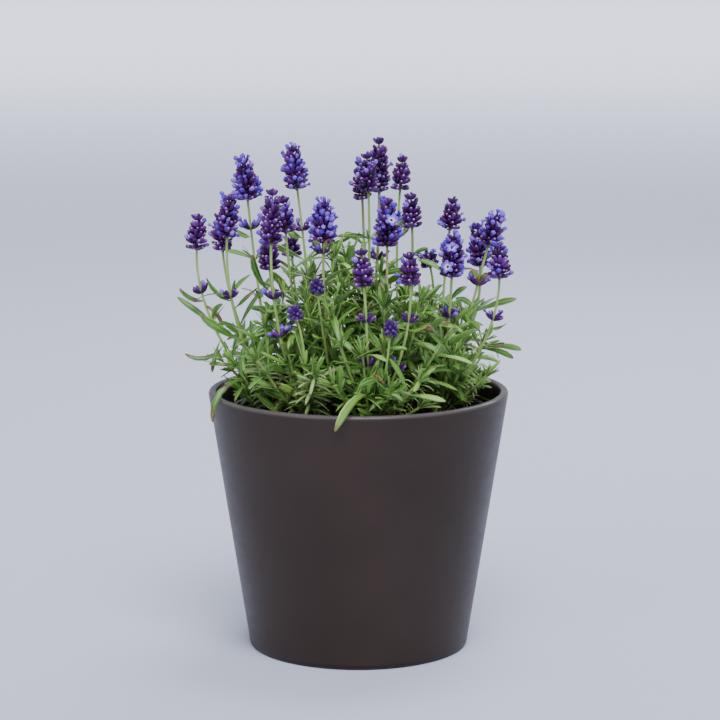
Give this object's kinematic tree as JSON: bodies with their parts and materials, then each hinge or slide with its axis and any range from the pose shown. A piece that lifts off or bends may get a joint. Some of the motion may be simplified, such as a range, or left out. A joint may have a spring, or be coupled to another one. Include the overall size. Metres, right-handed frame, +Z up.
{
  "type": "potted lavender",
  "caption": "Lavender in bloom, with narrow leaves and violet spikes on square stems, growing in a plastic pot that stands inside a dark, tapered, glazed pot.",
  "frame": {"origin": "middle of the pot's flat underside", "axes": "+Z up along the pot's axis, -Y towards the front of the plant, +X to the right of the front view"},
  "size_m": [0.1709, 0.1725, 0.2545],
  "materials": {
    "pot": "satin, dark warm grey",
    "growing_pot": "matt black",
    "soil": "crumbly, matt, dark brown",
    "foliage": "matt green, paler on the stems and undersides",
    "blossom": "matt dark violet, with lilac open flowers"
  },
  "bodies": {
    "root": {"pot": "pot", "growing_pot": "growing_pot", "soil": "soil", "plant_01": "foliage", "plant_01_a_spike": "blossom", "plant_01_a_ring_1": "blossom", "plant_01_b_spike": "blossom", "plant_01_b_ring_1": "blossom", "plant_02": "foliage", "plant_02_a_spike": "blossom", "plant_02_b_spike": "blossom", "plant_02_b_ring_1": "blossom", "plant_03": "foliage", "plant_03_a_spike": "blossom", "plant_03_a_ring_1": "blossom", "plant_03_a_ring_2": "blossom", "plant_03_b_spike": "blossom", "plant_04": "foliage", "plant_04_a_spike": "blossom", "plant_04_b_spike": "blossom", "plant_05": "foliage", "plant_05_a_spike": "blossom", "plant_05_b_spike": "blossom", "plant_05_b_ring_1": "blossom", "plant_06": "foliage", "plant_06_a_spike": "blossom", "plant_06_a_ring_1": "blossom", "plant_06_b_spike": "blossom", "plant_07": "foliage", "plant_07_a_spike": "blossom", "plant_07_b_spike": "blossom", "plant_07_b_ring_1": "blossom", "plant_07_c_spike": "blossom", "plant_08": "foliage", "plant_08_a_spike": "blossom", "plant_09": "foliage", "plant_09_a_spike": "blossom", "plant_09_a_ring_1": "blossom", "plant_09_a_ring_2": "blossom", "plant_09_b_spike": "blossom", "plant_09_b_ring_1": "blossom", "plant_09_b_ring_2": "blossom", "plant_09_c_spike": "blossom", "plant_10": "foliage", "plant_10_a_spike": "blossom", "plant_10_b_spike": "blossom", "plant_10_b_ring_1": "blossom", "plant_10_c_spike": "blossom", "plant_11": "foliage", "plant_11_a_spike": "blossom", "plant_11_b_spike": "blossom", "plant_12": "foliage", "plant_12_a_spike": "blossom", "plant_12_a_ring_1": "blossom", "plant_12_b_spike": "blossom", "plant_12_b_ring_1": "blossom", "plant_12_c_spike": "blossom", "plant_12_c_ring_1": "blossom"}
  },
  "joints": []
}
